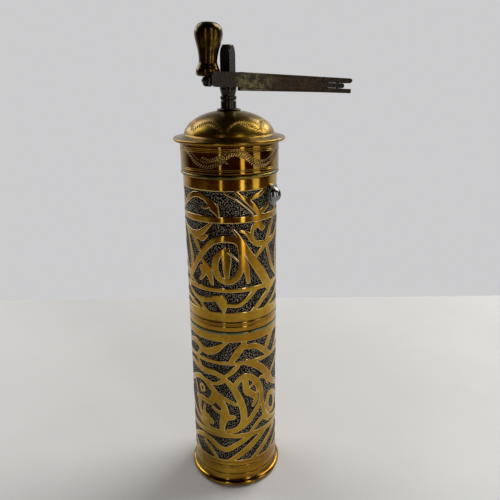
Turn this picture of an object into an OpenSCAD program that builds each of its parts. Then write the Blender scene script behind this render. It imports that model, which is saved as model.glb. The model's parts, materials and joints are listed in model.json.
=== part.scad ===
// Hand pepper mill with a folding crank: a cup, a grinding body, a domed cap,
// a square-tanged shaft, a channel arm and a folding bar with a turned knob.
// Millimetres, +Z up, origin at the centre of the foot's underside.

/* [Body] */
// Outside diameter of the two body tubes
body_d = 46; // [44:0.5:48]
// Wall thickness of the body tubes
wall = 1.5; // [1.2:0.1:1.5]
// Height of the cup's rim above the table
cup_h = 93; // [90:0.5:100]
// Length of the upper tube
upper_h = 76.4; // [74:0.2:90]
// How far the foot bead stands out from the tube
base_lip = 2.0; // [1.2:0.1:2.4]
// Depth of the chased bands below the plain rings
band_depth = 0.25; // [0.1:0.05:0.4]

/* [Cap] */
// Height of the cap's straight drum
skirt_h = 12.4; // [11:0.1:16]
// How far the cap's flange stands out from the body tube
flange_lip = 3.85; // [2.4:0.05:4.5]
// Rise of the dome above the flange's mean level
dome_rise = 12.6; // [10:0.2:16]
// Diameter of the small disc on top of the dome
ferrule_d = 11.4; // [11:0.1:13]

/* [Shaft] */
// Diameter of the turned shaft
shaft_d = 7.4; // [7.4:0.1:7.6]
// Side of the square tang
tang_side = 5.3; // [4.8:0.05:5.3]
// Height of the tang above the shaft's shoulder
tang_h = 18.1; // [12:0.1:22]

/* [Crank] */
// Turn of the crank about the shaft from the +X direction, degrees
crank_azimuth = 17; // [-45:1:45]
// Fall of the arm towards its forked end, degrees
crank_droop = 2.9; // [0:0.1:3]
// Distance from the shaft to the fold's pivot
pivot_x = 52.3; // [46:0.1:60]
// Thickness of the folding bar
bar_t = 3; // [2.6:0.1:3]

/* [Knob] */
// Height of the knob
knob_h = 23.2; // [20:0.2:26]
// Largest diameter of the knob
knob_d = 12.9; // [11:0.1:12.9]

/* [Grinding set] */
// Number of cutting grooves in the outer burr
ring_grooves = 16; // [12:1:20]
// Number of cutting grooves on the inner burr
cone_grooves = 8; // [6:1:10]
// Diameter of the knurled head of the adjusting screw
adjuster_d = 12; // [9:0.5:14]

/* [Hidden] */
$fn = 64;
eps = 0.01;
seam = 0.3;          // gap between pieces that lift apart
run = 0.05;          // radial running clearance of a turning pin

r_body = body_d / 2;
r_bore = r_body - wall;

// Levels of the outside, from the table up
base_h = 5;
floor_t = 1.4;
tube_z0 = cup_h + seam;
tube_z1 = tube_z0 + upper_h;
bead_h = 2;
skirt_z0 = tube_z1 + bead_h + seam;
flange_z0 = skirt_z0 + skirt_h;
dome_z0 = flange_z0 + 2;
dome_top = dome_z0 + dome_rise;
shoulder_z = dome_top + 10.5;

// Chased bands: start and end, measured up from the bottom of their tube
cup_bands = [[16.3, 29.5], [31.5, 74.3], [76.1, 87.6]];
upper_bands = [[10.8, 21.0], [23.1, 56.0], [59.0, 71.0]];
upper_lines = [3.2, 4.2, 5.4];
cup_lines = [6.7, 10.7, 12.1, 14.3];
line_w = 0.4;

// Joint of the cup and the upper tube
spigot_t = 1.4;
spigot_down = 9.4;
spigot_up = 8;
r_spigot = r_bore - seam;
r_burr = r_spigot - spigot_t;

// Grinding set
burr_z0 = tube_z0 - 7;
burr_h = 12;
mouth_low = 14;
mouth_high = 8.5;
cone_z0 = burr_z0 + 0.6;
cone_h = 10.8;
cone_low = 13.2;
cone_high = 6.5;
washer_t = 0.9;
cone_z1 = cone_z0 + cone_h;
seat_z = cone_z1 + washer_t;
seat_r = 2.95;
tip_z = cone_z0 + 1.6;
pin_r = 0.95;
pin_z = cone_z0 + 4;
pin_half = 9;
lower_bridge_t = 2.6;
lower_bridge_w = 9;
bridge_screw_r = 17;
adj_shank_r = 2.4;
adj_head_h = 4.5;
adj_head_gap = 2;

// Shaft bearing and side screws
screw_azimuth = -28;
screw_z = tube_z1 - 9.3;
screw_head_r = 3.85;
screw_head_h = 3.1;
screw_shank_r = 1.8;
saddle_r = 5.25;
saddle_t = 1.1;
bridge_z0 = tube_z1 - 17.7;
bridge_t = 2;
bridge_w = 8;
bearing_r = 6.5;
bearing_h = 6;
tab_t = 1.5;
tab_top = tube_z1 - 6.6;
r_rod = shaft_d / 2;

// Cap
r_cap_seat = r_body - 0.9;
cap_seat_h = 7.8;
r_skirt_in = r_cap_seat + seam;
r_skirt = r_skirt_in + 1.4;
r_dome = r_body - 1;
dome_t = 1.1;
lip_r = 0.85;         // rolled edge of the flange
r_lip = r_body + flange_lip - lip_r;
r_ferrule = ferrule_d / 2;
r_shoulder = 4;
r_ferrule_bore = r_shoulder + 0.1;
ferrule_wall = 0.9;

// Crank, in the arm's own frame: X along the arm, Y to the back, Z up
hub_r = 5.3;
hub_h = 3.7;
tang_fit = 0.1;
tang_corner = tang_side * 0.69;
arm_lift = 2.5;
arm_z = shoulder_z + arm_lift;
bar_back = -6.7;
bar_front = bar_back - bar_t;
tongue_front = bar_front + 0.9;
pivot_y = (bar_back + tongue_front) / 2;
tip_x = pivot_x + 6.9;
tail_x = pivot_x + 3.1;
web_end = pivot_x - 4.3;
fork_x = pivot_x - 8.25;
knuckle_x = pivot_x - 13.1;
channel_x = 3.3;
channel_front = bar_front + 0.2;
web_y = [-6.4, -5];
fork_back = -5;
slot_z = [-1.55, 1.0];
slot_start_z = -1.38;
slot_step_x = pivot_x + 1.2;
tail_z = [-1.3, 0.92];
step_x = pivot_x - 8.6;
bar_x0 = -9.6;
knob_x = -9.8;
knob_y = -0.8;
boss_r = 2.95;
boss_foot_r = 2.2;
boss_z = [-2.5, 1.2];
fold_pin_r = 0.7;
spindle_r = 1.6;
knob_z = boss_z[1] + 0.15;

// Node colours
brass = [0.72, 0.53, 0.20];
dark_brass = [0.55, 0.40, 0.15];
steel = [0.42, 0.41, 0.39];
iron = [0.30, 0.29, 0.28];
bright = [0.75, 0.75, 0.76];

// A ring about Z, from ri to ro, standing from z0 to z1
module ring(ri, ro, z0, z1) {
  translate([0, 0, z0])
    difference() {
      cylinder(r = ro, h = z1 - z0);
      translate([0, 0, -1]) cylinder(r = ri, h = z1 - z0 + 2);
    }
}

// Shallow turned recess in a tube's outside between two heights
module recess(z0, z1, depth) {
  ring(r_body - depth, r_body + 1, z0, z1);
}

// Puts a child drawn along X at the height and azimuth of the side screws
module at_side_screws() {
  for (side = [0, 180])
    rotate([0, 0, screw_azimuth + side])
      translate([0, 0, screw_z])
        children();
}

// The arm's frame: turned about the shaft and fallen towards the fork
module arm_frame() {
  translate([0, 0, arm_z])
    rotate([0, crank_droop, crank_azimuth])
      children();
}

// A plate of outline pts in the arm's X-Z plane, from y0 back to y1
module side_plate(pts, y0, y1) {
  translate([0, y1, 0])
    rotate([90, 0, 0])
      linear_extrude(height = y1 - y0) polygon(pts);
}

module base_ring() {
  color(brass)
    rotate_extrude()
      polygon([
        [r_body, 0], [r_body + base_lip - 0.3, 0], [r_body + base_lip, 0.4],
        [r_body + base_lip, 2.0], [r_body + base_lip - 0.5, 2.6],
        [r_body + base_lip - 0.6, 2.9], [r_body + base_lip - 0.2, 3.3],
        [r_body + base_lip - 0.1, 4.3], [r_body + base_lip - 0.5, base_h],
        [r_body, base_h]
      ]);
}

module cup_floor() {
  color(dark_brass) cylinder(r = r_bore, h = floor_t);
}

module cup_tube() {
  color(brass)
    difference() {
      ring(r_bore, r_body, 0, cup_h);
      for (b = cup_bands) recess(b[0], b[1], band_depth);
      for (z = cup_lines) recess(z, z + line_w, band_depth);
    }
}

module upper_tube() {
  color(brass)
    difference() {
      ring(r_bore, r_body, tube_z0, tube_z1);
      for (b = upper_bands) recess(tube_z0 + b[0], tube_z0 + b[1], band_depth);
      for (z = upper_lines) recess(tube_z0 + z, tube_z0 + z + line_w, band_depth);
      at_side_screws()
        rotate([0, 90, 0])
          translate([0, 0, r_bore - 2]) cylinder(r = screw_shank_r + 0.1, h = wall + 4);
    }
}

module spigot_ring() {
  color(dark_brass) {
    difference() {
      union() {
        ring(r_burr, r_spigot, tube_z0 - spigot_down, tube_z0);
        ring(r_burr, r_bore, tube_z0, tube_z0 + spigot_up);
      }
    }
  }
}

module neck_ring() {
  seat_in = r_bore - 1.2;
  color(dark_brass)
    rotate_extrude()
      union() {
        translate([seat_in, tube_z1 - 6]) square([r_bore - seat_in, 6]);
        translate([seat_in, tube_z1]) square([r_body - seat_in, bead_h]);
        translate([r_body - 0.1, tube_z1 + bead_h / 2]) circle(r = bead_h / 2);
        translate([seat_in, tube_z1 + bead_h])
          square([r_cap_seat - seat_in, cap_seat_h]);
      }
}

module upper_bridge() {
  color(iron)
    difference() {
      union() {
        translate([0, 0, bridge_z0]) cylinder(r = bearing_r, h = bearing_h);
        rotate([0, 0, screw_azimuth])
          intersection() {
            translate([-r_body, -bridge_w / 2, bridge_z0])
              cube([body_d, bridge_w, tab_top - bridge_z0]);
            union() {
              translate([0, 0, bridge_z0]) cylinder(r = r_bore - 0.1, h = bridge_t);
              ring(r_bore - 0.1 - tab_t, r_bore - 0.1, bridge_z0, tab_top);
            }
          }
      }
      translate([0, 0, bridge_z0 - 1]) cylinder(r = r_rod + run, h = bearing_h + 2);
      at_side_screws()
        rotate([0, 90, 0])
          translate([0, 0, r_bore - 5]) cylinder(r = screw_shank_r, h = 8);
    }
}

module side_screws() {
  head_sphere = (screw_head_r * screw_head_r + screw_head_h * screw_head_h) / (2 * screw_head_h);
  seat = r_body + saddle_t;
  color(bright)
    at_side_screws()
      difference() {
        rotate([0, 90, 0]) {
          translate([0, 0, r_bore - 4]) cylinder(r = screw_shank_r, h = seat - r_bore + 4 + eps);
          intersection() {
            translate([0, 0, seat]) cylinder(r = screw_head_r, h = screw_head_h + 1);
            translate([0, 0, seat + screw_head_h - head_sphere]) sphere(r = head_sphere);
          }
        }
        translate([seat + screw_head_h - 1.1, -0.45, -screw_head_r - 1])
          cube([3, 0.9, 2 * screw_head_r + 2]);
      }
}

module side_washers() {
  color(bright)
    at_side_screws()
      intersection() {
        rotate([0, 90, 0])
          difference() {
            cylinder(r = saddle_r, h = r_body + 5);
            cylinder(r = screw_shank_r + 0.1, h = r_body + 6);
          }
        ring(r_body, r_body + saddle_t, -saddle_r - 1, saddle_r + 1);
      }
}

module burr_ring() {
  lean = atan((mouth_low - mouth_high) / burr_h);
  color(iron)
    difference() {
      translate([0, 0, burr_z0]) cylinder(r = r_burr, h = burr_h);
      translate([0, 0, burr_z0 - eps])
        cylinder(r1 = mouth_low, r2 = mouth_high, h = burr_h + 2 * eps);
      for (i = [0:ring_grooves - 1])
        rotate([0, 0, 360 * i / ring_grooves])
          translate([mouth_low, 0, burr_z0])
            rotate([0, -lean, 0])
              translate([-1, -0.7, -2]) cube([1.9, 1.4, burr_h + 6]);
      for (x = [-bridge_screw_r, bridge_screw_r])
        translate([x, 0, burr_z0 - 1]) cylinder(r = 1.1, h = 6);
    }
}

module burr_cone() {
  lean = atan((cone_low - cone_high) / cone_h);
  color(iron)
    difference() {
      translate([0, 0, cone_z0]) cylinder(r1 = cone_low, r2 = cone_high, h = cone_h);
      translate([0, 0, cone_z0 - 1]) cylinder(r = seat_r, h = cone_h + 2);
      for (i = [0:cone_grooves - 1])
        rotate([0, 0, 360 * (i + 0.5) / cone_grooves])
          translate([cone_low, 0, cone_z0])
            rotate([0, -lean, 0])
              translate([-1.3, -0.9, -2]) cube([4, 1.8, cone_h + 8]);
      rotate([0, 90, 0]) translate([-pin_z, 0, -pin_half]) cylinder(r = pin_r, h = 2 * pin_half);
    }
}

module burr_pin() {
  color(steel)
    translate([-pin_half, 0, pin_z]) rotate([0, 90, 0]) cylinder(r = pin_r, h = 2 * pin_half);
}

module thrust_washer() {
  color(steel) ring(seat_r, 6, cone_z1, seat_z);
}

module drive_shaft() {
  color(steel)
    difference() {
      union() {
        rotate_extrude()
          polygon([
            [0, tip_z], [seat_r - 0.3, tip_z], [seat_r, tip_z + 0.3],
            [seat_r, seat_z], [r_rod, seat_z], [r_rod, shoulder_z - 6.6],
            [r_rod - 0.25, shoulder_z - 6.3], [r_rod - 0.25, shoulder_z - 6.0],
            [r_rod + 0.1, shoulder_z - 5.7], [r_rod + 0.2, shoulder_z - 5.2],
            [r_rod + 0.1, shoulder_z - 4.5], [3.25, shoulder_z - 4.2],
            [3.3, shoulder_z - 3.8], [3.6, shoulder_z - 2.6],
            [3.9, shoulder_z - 1.5], [r_shoulder, shoulder_z - 0.8],
            [r_shoulder, shoulder_z],
            [0, shoulder_z]
          ]);
        translate([0, 0, shoulder_z - eps])
          rotate([0, 0, crank_azimuth + 45])
            intersection() {
              translate([-tang_side / 2, -tang_side / 2, 0])
                cube([tang_side, tang_side, tang_h]);
              rotate_extrude()
                polygon([
                  [0, 0], [tang_corner, 0], [tang_corner, tang_h - 4.2],
                  [tang_corner - 0.25, tang_h - 2.2], [tang_corner - 0.8, tang_h - 0.5],
                  [tang_corner - 1.3, tang_h], [0, tang_h]
                ]);
            }
      }
      rotate([0, 90, 0]) translate([-pin_z, 0, -pin_half]) cylinder(r = pin_r, h = 2 * pin_half);
    }
}

module lower_bridge() {
  z0 = burr_z0 - lower_bridge_t;
  color(iron)
    difference() {
      intersection() {
        translate([-r_body, -lower_bridge_w / 2, z0])
          cube([body_d, lower_bridge_w, lower_bridge_t]);
        translate([0, 0, z0]) cylinder(r = r_burr - 0.1, h = lower_bridge_t);
      }
      translate([0, 0, z0 - 1]) cylinder(r = adj_shank_r + run, h = lower_bridge_t + 2);
      for (x = [-bridge_screw_r, bridge_screw_r])
        translate([x, 0, z0 - 1]) cylinder(r = 1.1, h = lower_bridge_t + 2);
    }
}

module bridge_screws() {
  z0 = burr_z0 - lower_bridge_t;
  color(bright)
    for (x = [-bridge_screw_r, bridge_screw_r])
      translate([x, 0, 0])
        difference() {
          union() {
            translate([0, 0, z0 - 1.2]) cylinder(r = 1.9, h = 1.2);
            translate([0, 0, z0 - eps]) cylinder(r = 1.1, h = lower_bridge_t + 4);
          }
          translate([-0.3, -3, z0 - 1.2 - eps]) cube([0.6, 6, 0.6]);
        }
}

module adjusting_screw() {
  z_head = burr_z0 - lower_bridge_t - adj_head_gap;
  color(dark_brass)
    union() {
      translate([0, 0, z_head - eps])
        cylinder(r = adj_shank_r, h = tip_z - 0.1 - z_head);
      difference() {
        translate([0, 0, z_head - adj_head_h]) cylinder(d = adjuster_d, h = adj_head_h);
        for (i = [0:15])
          rotate([0, 0, 22.5 * i])
            translate([adjuster_d / 2 + 0.3, 0, z_head - adj_head_h - 1])
              cylinder(r = 0.8, h = adj_head_h + 2);
      }
    }
}

module cap_skirt() {
  color(brass)
    difference() {
      ring(r_skirt_in, r_skirt, skirt_z0, flange_z0);
      for (z = [1.6, 3.0])
        ring(r_skirt - 0.2, r_skirt + 1, skirt_z0 + z, skirt_z0 + z + line_w);
    }
}

// Outline of part of an ellipse, as [radius, height] points from low angle t0 to the axis
function dome_arc(a, b, t0, r_stop) = [
  for (i = [0:24])
    let (t = t0 + (90 - t0) * i / 24, r = a * cos(t))
      if (r > r_stop) [r, b * sin(t)]
];

module cap_dome() {
  hole = r_ferrule_bore + ferrule_wall;
  out_arc = dome_arc(r_dome, dome_rise, 8.5, hole);
  in_arc = dome_arc(r_dome - dome_t, dome_rise - dome_t, 0, hole);
  out_end = dome_rise * sqrt(1 - pow(hole / r_dome, 2));
  in_end = (dome_rise - dome_t) * sqrt(1 - pow(hole / (r_dome - dome_t), 2));
  lip_z = -0.4;
  lip = [for (t = [-70:15:110]) [r_lip + lip_r * cos(t), lip_z + lip_r * sin(t)]];
  cove = [[r_lip - 1.1, 0.6], [r_lip - 2.4, 0.95], [r_lip - 3.4, 1.35]];
  under = [[r_dome - dome_t, -2], [r_skirt + 0.3, -2], [r_lip - 0.6, -1.4]];
  color(brass)
    translate([0, 0, dome_z0])
      rotate_extrude()
        polygon(concat(
          under, lip, cove, out_arc, [[hole, out_end], [hole, in_end]],
          [for (i = [len(in_arc) - 1:-1:0]) in_arc[i]]));
}

module cap_ferrule() {
  hole = r_ferrule_bore + ferrule_wall;
  z_disc = dome_z0 + dome_rise * sqrt(1 - pow(hole / r_dome, 2));
  color(dark_brass)
    difference() {
      union() {
        translate([0, 0, z_disc - 2.4]) cylinder(r = hole, h = 2.4);
        translate([0, 0, z_disc]) cylinder(r = r_ferrule, h = 0.9);
      }
      translate([0, 0, z_disc - 5]) cylinder(r = r_ferrule_bore, h = 8);
    }
}

module crank_arm() {
  top = [[channel_x, 3.9], [knuckle_x, 3.5], [tip_x - 1, 3.3], [tip_x - 0.2, 2.85],
         [tip_x, 2.2], [tip_x - 0.5, 1.4], [tip_x - 1.4, slot_z[1]],
         [fork_x, slot_z[1]], [fork_x, 2.5], [channel_x, 3.3]];
  bottom = [[channel_x, -4.2], [knuckle_x, -3.6], [tip_x - 0.4, -3.5],
            [tip_x - 0.4, slot_z[0]], [slot_step_x + 0.1, slot_z[0] + 0.05],
            [slot_step_x - 0.1, slot_start_z], [fork_x, slot_start_z],
            [fork_x, -3.05], [channel_x, -3.1]];
  web = [[channel_x, -3.8], [web_end, -3.3], [web_end, 3.0], [channel_x, 3.6]];
  root = [[0, -1.8], [channel_x + 5, -2.2], [channel_x + 5, 2], [0, 1.1]];
  color(steel)
    difference() {
      union() {
        translate([0, 0, shoulder_z]) cylinder(r = hub_r, h = hub_h);
        arm_frame() {
          side_plate(top, channel_front, fork_back);
          side_plate(bottom, channel_front, fork_back);
          side_plate(web, web_y[0], web_y[1]);
          side_plate(root, web_y[0], -2);
        }
      }
      translate([0, 0, shoulder_z - 1])
        rotate([0, 0, crank_azimuth + 45])
          translate([-tang_side / 2 - tang_fit, -tang_side / 2 - tang_fit, 0])
            cube([tang_side + 2 * tang_fit, tang_side + 2 * tang_fit, 20]);
      arm_frame() {
        translate([pivot_x, pivot_y, -6]) cylinder(r = fold_pin_r, h = 12);
        translate([knuckle_x, channel_front - 1, 1.6])
          cube([fork_x - knuckle_x, web_y[0] - 0.1 - channel_front + 1, 4]);
      }
    }
}

module fold_pin() {
  color(steel)
    arm_frame()
      translate([pivot_x, pivot_y, -3.5]) cylinder(r = fold_pin_r, h = 6.83);
}

module handle_bar() {
  bar = [[bar_x0, -1.5], [bar_x0 + 0.4, -2.5], [bar_x0 + 1.3, -2.95],
         [bar_x0 + 5, -2.9], [channel_x - 0.4, -2.55], [channel_x + 0.4, -2.85],
         [step_x, -2.85], [step_x, 3.4], [knuckle_x + 0.4, 3.5],
         [knuckle_x + 0.4, 2.4], [channel_x - 0.1, 3.1], [channel_x - 0.5, 3.8],
         [bar_x0 + 1.3, 3.6], [bar_x0 + 0.4, 3.2], [bar_x0, 2.4]];
  tail = [[step_x - 0.5, tail_z[0]], [tail_x - 0.6, tail_z[0]],
          [tail_x, tail_z[0] + 0.6], [tail_x, tail_z[1] - 0.6],
          [tail_x - 0.6, tail_z[1]], [step_x - 0.5, tail_z[1]]];
  neck = [[knob_x - 0.6, boss_z[0]], [-6.9, boss_z[0]], [-6.9, 0.8],
          [knob_x - 0.6, 0.8]];
  color(steel)
    arm_frame()
      difference() {
        union() {
          side_plate(bar, bar_front, bar_back);
          side_plate(tail, tongue_front, bar_back);
          side_plate(neck, bar_back - 0.5, knob_y);
          translate([knob_x, knob_y, 0])
            rotate_extrude()
              polygon([
                [0, boss_z[0]], [boss_foot_r, boss_z[0]],
                [boss_foot_r, boss_z[0] + 0.6], [boss_r, -0.6], [boss_r, -0.1],
                [boss_foot_r, boss_z[1]], [0, boss_z[1]]
              ]);
        }
        translate([pivot_x, pivot_y, -6]) cylinder(r = fold_pin_r + run, h = 12);
        translate([knob_x, knob_y, -6]) cylinder(r = spindle_r, h = 12);
      }
}

module knob_spindle() {
  color(steel)
    arm_frame()
      translate([knob_x, knob_y, 0])
        union() {
          translate([0, 0, boss_z[0] - eps])
            cylinder(r = spindle_r, h = knob_z + knob_h * 0.8 - boss_z[0]);
          translate([0, 0, boss_z[0] - 0.5])
            cylinder(r1 = 1.5, r2 = 2.0, h = 0.5);
        }
}

module knob() {
  rk = knob_d / 2;
  color(dark_brass)
    arm_frame()
      translate([knob_x, knob_y, knob_z])
        difference() {
          rotate_extrude()
            polygon([
              [0, 0], [rk * 0.70, 0], [rk * 0.82, knob_h * 0.03],
              [rk * 0.86, knob_h * 0.08], [rk * 0.83, knob_h * 0.14],
              [rk * 0.74, knob_h * 0.20], [rk * 0.67, knob_h * 0.25],
              [rk * 0.655, knob_h * 0.31], [rk * 0.69, knob_h * 0.40],
              [rk * 0.765, knob_h * 0.505], [rk * 0.87, knob_h * 0.61],
              [rk * 0.965, knob_h * 0.71], [rk, knob_h * 0.78],
              [rk * 0.965, knob_h * 0.86], [rk * 0.86, knob_h * 0.92],
              [rk * 0.67, knob_h * 0.965], [rk * 0.42, knob_h * 0.99],
              [0, knob_h]
            ]);
          translate([0, 0, -1]) cylinder(r = spindle_r + run, h = knob_h * 0.84 + 1);
        }
}

cup_tube();
cup_floor();
base_ring();
upper_tube();
spigot_ring();
neck_ring();
upper_bridge();
side_screws();
side_washers();
burr_ring();
lower_bridge();
bridge_screws();
adjusting_screw();
drive_shaft();
burr_cone();
burr_pin();
thrust_washer();
cap_skirt();
cap_dome();
cap_ferrule();
crank_arm();
fold_pin();
handle_bar();
knob_spindle();
knob();
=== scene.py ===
"""Looks for the hand pepper mill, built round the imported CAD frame."""
import json
import math

import bpy
import numpy as np
from mathutils import Matrix, Vector


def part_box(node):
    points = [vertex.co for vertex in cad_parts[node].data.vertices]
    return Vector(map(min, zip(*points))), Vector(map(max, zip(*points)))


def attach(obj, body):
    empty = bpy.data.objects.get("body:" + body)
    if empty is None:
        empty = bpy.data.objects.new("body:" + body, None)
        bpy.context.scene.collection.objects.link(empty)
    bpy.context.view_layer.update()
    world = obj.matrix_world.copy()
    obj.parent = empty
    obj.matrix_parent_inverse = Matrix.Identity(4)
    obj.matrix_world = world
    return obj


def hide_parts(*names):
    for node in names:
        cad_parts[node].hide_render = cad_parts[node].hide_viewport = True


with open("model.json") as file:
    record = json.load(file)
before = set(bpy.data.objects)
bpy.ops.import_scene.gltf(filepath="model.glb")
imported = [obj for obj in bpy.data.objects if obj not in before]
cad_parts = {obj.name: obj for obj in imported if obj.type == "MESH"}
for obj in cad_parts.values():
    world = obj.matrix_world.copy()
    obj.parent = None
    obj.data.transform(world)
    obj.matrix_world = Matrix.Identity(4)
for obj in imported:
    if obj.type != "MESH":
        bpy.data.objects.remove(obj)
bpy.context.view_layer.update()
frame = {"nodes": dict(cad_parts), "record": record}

MM = 0.001
DEG = math.pi / 180.0


# ---------------------------------------------------------------- measures of the fine work, in mm
TUBE_WALL = 1.5
TUBE_COLUMNS = 432
TUBE_PITCH = 0.36
RELIEF = 0.24  # the ground lies this deep under the raised scrolls
STROKE_SPREAD = 0.2  # added to each side of a scroll
STROKE_MARGIN = 1.2  # a stroke's distance is worked out this far outside it
FAR = 3.0  # stands for any distance beyond that
LINE_DEPTH = 0.22
LINE_HALF_WIDTH = 0.24
LOW_CHAMFER, HIGH_CHAMFER = 0.2, 0.15
DRUM_WALL = 1.4
DOME_RISE = 12.6
DOME_WALL = 1.1
DOME_HOLE_R = 5.0
DOME_MARK_R = 17.0  # the radius at which the dome's marks are laid out
LIP_R = 0.85
BUSH_BORE_R = 4.1
KNOB_R = 6.45
KNOB_HEIGHT = 23.2
KNOB_PIVOT = 8.65  # the knob joint's point, above the knob's foot


# ---------------------------------------------------------------- measures from the frame
def span(node, axis):
    """Low and high of a CAD node along an axis, in millimetres."""
    low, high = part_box(node)
    return low[axis] / MM, high[axis] / MM


R_BODY = span("cup_tube", 0)[1]
CUP_TOP = span("cup_tube", 2)[1]
TUBE_LOW, TUBE_HIGH = span("upper_tube", 2)
R_BORE = R_BODY - TUBE_WALL
BASE_R = span("base_ring", 0)[1]
BASE_TOP = span("base_ring", 2)[1]
BEAD_R = span("neck_ring", 0)[1]
NECK_LOW, NECK_HIGH = span("neck_ring", 2)
SKIRT_LOW, SKIRT_HIGH = span("cap_skirt", 2)
SKIRT_R = span("cap_skirt", 0)[1]
FLANGE_R = span("cap_dome", 0)[1]
DOME_LOW = span("cap_dome", 2)[0]
FERRULE_R = span("cap_ferrule", 0)[1]
FERRULE_LOW, FERRULE_HIGH = span("cap_ferrule", 2)
MOTIONS = {joint["name"]: joint for joint in frame["record"]["behaviour"]["joints"]}


# ---------------------------------------------------------------- mesh helpers
def new_mesh(name, verts, faces, smooth_angle=40.0, scale=MM):
    """A mesh object from vertices in millimetres, or in metres with a scale of 1."""
    mesh = bpy.data.meshes.new(name)
    mesh.from_pydata([tuple(float(c) * scale for c in v) for v in verts], [], faces)
    mesh.validate()
    mesh.update()
    obj = bpy.data.objects.new(name, mesh)
    bpy.context.scene.collection.objects.link(obj)
    shade(obj, smooth_angle)
    return obj


def shade(obj, angle):
    """Smooth shading with edges sharper than the angle kept."""
    mesh = obj.data
    mesh.polygons.foreach_set("use_smooth", [True] * len(mesh.polygons))
    mesh.set_sharp_from_angle(angle=angle * DEG)
    mesh.update()


def finish_piece(obj, material, body, node):
    """Gives a piece its material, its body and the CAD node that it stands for."""
    obj.data.materials.clear()
    obj.data.materials.append(material)
    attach(obj, body)
    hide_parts(node)


def arc(cx, cz, r, start, end, steps):
    """Points (r, z) on a circle arc, angles in degrees."""
    angles = np.linspace(start, end, steps) * DEG
    return [(cx + r * math.cos(a), cz + r * math.sin(a)) for a in angles]


def lathe(name, profile, segments=192, smooth_angle=30.0, close=True):
    """A solid of revolution about Z from a closed outline of (r, z) points in millimetres."""
    pts = [(max(r, 0.0), z) for r, z in profile]
    turns = np.arange(segments) * 2 * math.pi / segments
    verts, rings = [], []
    for r, z in pts:
        if r < 1e-6:
            rings.append([len(verts)])
            verts.append((0.0, 0.0, z))
        else:
            rings.append(list(range(len(verts), len(verts) + segments)))
            verts.extend((r * math.cos(a), r * math.sin(a), z) for a in turns)
    faces = []
    pairs = list(zip(rings, rings[1:] + rings[:1] if close else rings[1:]))
    for low, high in pairs:
        if len(low) == 1 and len(high) == 1:
            continue
        for i in range(segments):
            j = (i + 1) % segments
            if len(low) == 1:
                faces.append((low[0], high[j], high[i]))
            elif len(high) == 1:
                faces.append((low[i], low[j], high[0]))
            else:
                faces.append((low[i], low[j], high[j], high[i]))
    return new_mesh(name, verts, faces, smooth_angle)


def catmull(points, steps=7):
    """A smooth path through given points (rows of any width)."""
    p = np.asarray(points, float)
    if len(p) == 2:
        t = np.linspace(0, 1, steps + 1)[:, None]
        return p[0] * (1 - t) + p[1] * t
    ext = np.vstack([2 * p[0] - p[1], p, 2 * p[-1] - p[-2]])
    out = []
    for i in range(1, len(ext) - 2):
        a, b, c, d = ext[i - 1], ext[i], ext[i + 1], ext[i + 2]
        for k in range(steps):
            t = k / steps
            out.append(0.5 * (2 * b + (c - a) * t + (2 * a - 5 * b + 4 * c - d) * t * t
                              + (3 * b - a - 3 * c + d) * t ** 3))
    out.append(ext[-2])
    return np.array(out)


# ---------------------------------------------------------------- chased scrollwork
# Chased bands (low, high) and turned lines, in mm above the tube's lower edge.
CUP_BANDS = [(16.3, 30.4), (33.4, 74.8), (77.0, 87.8)]
CUP_LINES = [6.9, 10.9, 12.3, 14.5]
UPPER_BANDS = [(10.9, 21.4), (23.8, 56.0), (59.2, 71.0)]
UPPER_LINES = [3.4, 4.4, 5.4, 5.8]

# A stroke is (widths, points): widths in mm spread along it, points as (degrees, mm).
# Degrees run from the front, positive to the right; the back mirrors the front at 90.
# On both tubes the mm are heights above the rest face.
UPPER_FRIEZE = [
    ((1.2, 2.4, 2.2, 1.6), [(-82, 152), (-66, 157), (-50, 161.4), (-38, 162.2), (-28, 160.4),
                            (-21, 157)]),
    ((1.6, 4.2, 1.2), [(-26, 160.6), (-18, 156.8), (-13, 153.2)]),
    ((1.8, 1.2, 1.0), [(-27, 160.4), (-24.5, 158.4), (-27, 156.6), (-33, 156.6)]),
    ((0.6, 0.4), [(-5, 163.6), (8, 160.6), (20, 156.8), (29, 153.2)]),
    ((1.0, 1.8, 2.6, 2.4), [(8, 164.0), (18, 160.8), (28, 157.4), (38, 153)]),
    ((1.0, 2.0, 1.4), [(20, 160.6), (28, 161.0), (38, 162.2), (46, 164)]),
    ((2.4, 1.8, 1.4), [(37, 153), (49, 155.8), (62, 159.6), (76, 164)]),
    ((1.2, 1.8, 1.2), [(-90, 164), (-74, 161), (-66, 157)]),
    ((1.4, 2.2, 1.4), [(66, 153), (78, 156.5), (90, 158)]),
]
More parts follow.
